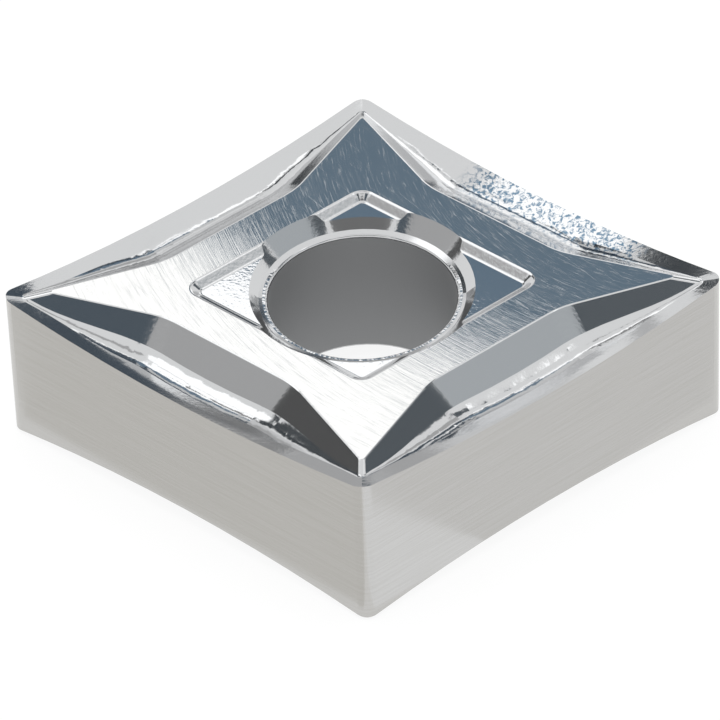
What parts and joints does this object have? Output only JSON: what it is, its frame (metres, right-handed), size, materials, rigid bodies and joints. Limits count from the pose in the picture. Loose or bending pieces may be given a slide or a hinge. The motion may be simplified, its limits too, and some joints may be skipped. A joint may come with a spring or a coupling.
{
  "type": "carbide turning insert",
  "caption": "Rhombic double-sided turning insert of polished carbide, with vertical ground flanks, moulded chip grooves on both faces and a bore for a clamping pin.",
  "frame": {"origin": "on the axis of the bore, in the plane of the lower land that the insert rests on", "axes": "+Z along the bore, up through the insert; +X along the long diagonal, to a sharp acute corner; +Y along the short diagonal"},
  "size_m": [0.0194, 0.0164, 0.0048],
  "materials": {
    "carbide": "uncoated cemented carbide: flanks and lands finely ground, grooves polished bright"
  },
  "bodies": {
    "root": {"insert_body": "carbide"}
  },
  "joints": []
}
